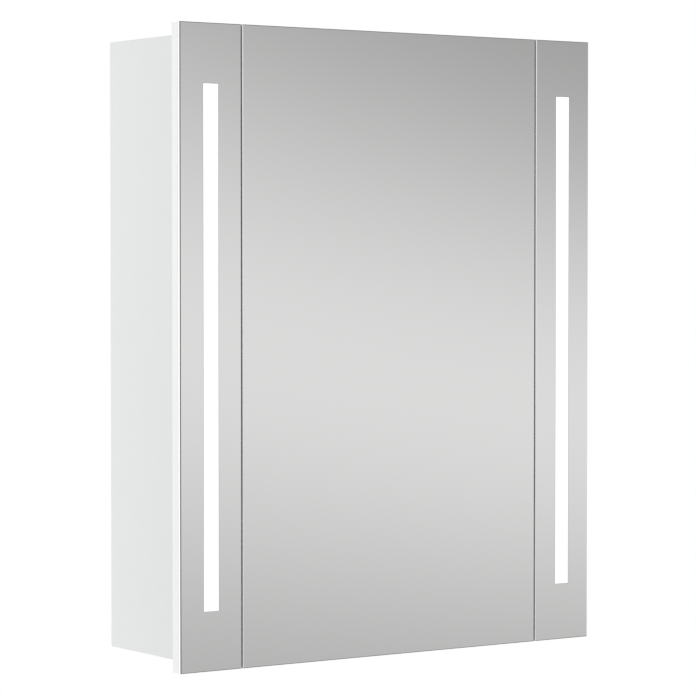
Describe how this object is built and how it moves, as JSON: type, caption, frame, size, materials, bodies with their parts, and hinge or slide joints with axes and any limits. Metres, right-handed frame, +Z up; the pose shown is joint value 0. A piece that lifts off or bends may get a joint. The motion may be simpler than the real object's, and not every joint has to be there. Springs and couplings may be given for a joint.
{
  "type": "medicine cabinet with mirror",
  "caption": "Wall-hung bathroom cabinet with a mirrored door between lit mirror panels, glass shelves, a switch and a socket inside.",
  "frame": {"origin": "on the wall plane, at the centre of the four wall screws in the hanging plates", "axes": "+X to the right as seen from the front, +Y into the wall, +Z up"},
  "size_m": [0.6, 0.16, 0.75],
  "materials": {
    "white_board": "white melamine face, satin",
    "birch": "plain beech dowel",
    "zinc": "zinc plated",
    "nickel": "nickel plated",
    "hanger_plastic": "moulded, satin",
    "mirror": "silvered float glass, polished edges",
    "frosted": "sand-blasted, lit from behind",
    "clear_glass": "clear, polished edges",
    "anodised": "satin anodised",
    "circuit": "white solder mask",
    "led": "phosphor lens",
    "opal": "opal acrylic",
    "white_plastic": "moulded, light gloss",
    "lead_sheath": "soft white sheath",
    "black_rubber": "moulded",
    "bumper": "translucent"
  },
  "bodies": {
    "cabinet": {"side_left": "white_board", "side_right": "white_board", "top_board": "white_board", "bottom_board": "white_board", "back_panel": "white_board", "partition_left": "white_board", "partition_right": "white_board", "dowels": "birch", "cam_locks": "zinc", "cam_bolts": "zinc", "hanger_left": "hanger_plastic", "hanger_right": "hanger_plastic", "hanger_hooks": "zinc", "hanger_screws": "zinc", "wall_plate_left": "zinc", "wall_plate_right": "zinc", "carrier_left": "white_board", "carrier_right": "white_board", "mirror_left": "mirror", "mirror_right": "mirror", "window_left": "frosted", "window_right": "frosted", "panel_brackets": "zinc", "bracket_screws": "zinc", "led_profile_left": "anodised", "led_profile_right": "anodised", "led_strip_left": "circuit", "led_strip_right": "circuit", "led_chips_left": "led", "led_chips_right": "led", "diffuser_left": "opal", "diffuser_right": "opal", "profile_end_caps": "white_plastic", "led_driver": "white_plastic", "driver_screws": "zinc", "cable_grommets": "black_rubber", "lead_left": "lead_sheath", "lead_right": "lead_sheath", "lead_switch": "lead_sheath", "lead_clips": "white_plastic", "switch_housing": "white_plastic", "socket_insert": "white_plastic", "shelf_low": "clear_glass", "shelf_mid": "clear_glass", "shelf_high": "clear_glass", "shelf_pins": "nickel", "hinge_plates": "nickel", "hinge_plate_screws": "nickel", "hinge_arms": "nickel", "hinge_arm_screws": "nickel"},
    "links": {"hinge_links": "nickel"},
    "door": {"door_carrier": "white_board", "door_mirror": "mirror", "door_inner_mirror": "mirror", "door_bumpers": "bumper", "hinge_cups": "nickel", "hinge_cup_screws": "nickel"},
    "rocker": {"rocker": "white_plastic"}
  },
  "joints": [
    {"name": "link_hinge", "type": "hinge", "parent": "cabinet", "child": "links", "pos_m": [0.1791, -0.1325, -0.3], "axis": [0, 0, -1], "range_deg": [0, 55.4]},
    {"name": "door_hinge", "type": "hinge", "parent": "links", "child": "door", "pos_m": [0.2065, -0.1448, -0.3], "axis": [0, 0, 1], "range_deg": [0, 151.3]},
    {"name": "switch_rocker", "type": "hinge", "parent": "cabinet", "child": "rocker", "pos_m": [0.19, -0.068, -0.618], "axis": [-1, 0, 0], "range_deg": [0, 12]}
  ],
  "couplings": [
    {"joint": "link_hinge", "follows": "door_hinge", "ratio": 0.3655}
  ]
}
